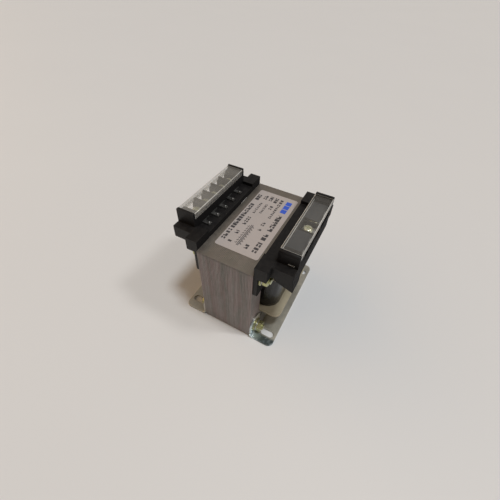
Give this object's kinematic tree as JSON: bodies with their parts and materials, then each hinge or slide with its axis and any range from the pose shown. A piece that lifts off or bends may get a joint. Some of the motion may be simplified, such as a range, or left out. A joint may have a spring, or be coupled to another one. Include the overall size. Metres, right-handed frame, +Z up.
{
  "type": "laminated chassis transformer",
  "caption": "Laminated EI core transformer with a taped coil, slotted mounting feet and a covered screw terminal block along each side.",
  "frame": {"origin": "middle of the part on the mounting surface under the feet", "axes": "+X across the stack of sheets towards the secondary terminal block, +Y along the core, +Z up from the mounting surface"},
  "size_m": [0.0804, 0.0856, 0.087],
  "materials": {
    "core_steel": "varnished sheet edges",
    "zinc_steel": "bright zinc plate",
    "yellow_zinc_steel": "yellow zinc plate",
    "beige_plastic": "glass-filled moulding",
    "black_plastic": "semi-gloss moulding",
    "black_tape": "glossy film tape",
    "enamelled_copper": "enamelled wire",
    "film_insulation": "film",
    "tinned_metal": "tinned",
    "clear_plastic": "clear moulding",
    "grey_plastic": "matt",
    "sleeve_plastic": "matt",
    "label_film": "satin film"
  },
  "bodies": {
    "root": {"e_laminations": "core_steel", "i_laminations": "core_steel", "bobbin": "beige_plastic", "primary_winding": "enamelled_copper", "interwinding_insulation": "film_insulation", "secondary_winding": "enamelled_copper", "outer_wrap": "black_tape", "primary_foot_bracket": "zinc_steel", "secondary_foot_bracket": "zinc_steel", "lower_core_bolts": "yellow_zinc_steel", "upper_core_bolts": "yellow_zinc_steel", "plain_washers": "yellow_zinc_steel", "spring_washers": "zinc_steel", "core_nuts": "yellow_zinc_steel", "primary_terminal_base": "black_plastic", "secondary_terminal_base": "black_plastic", "primary_contact_strips": "tinned_metal", "secondary_contact_strips": "tinned_metal", "primary_clamp_plates": "zinc_steel", "secondary_clamp_plates": "zinc_steel", "primary_terminal_screws": "yellow_zinc_steel", "secondary_terminal_screws": "yellow_zinc_steel", "primary_leads": "enamelled_copper", "secondary_leads": "enamelled_copper", "lead_sleeves": "sleeve_plastic", "solder_joints": "tinned_metal", "primary_cover": "clear_plastic", "secondary_cover": "clear_plastic", "secondary_marker_plates": "grey_plastic", "rating_label": "label_film"}
  },
  "joints": []
}
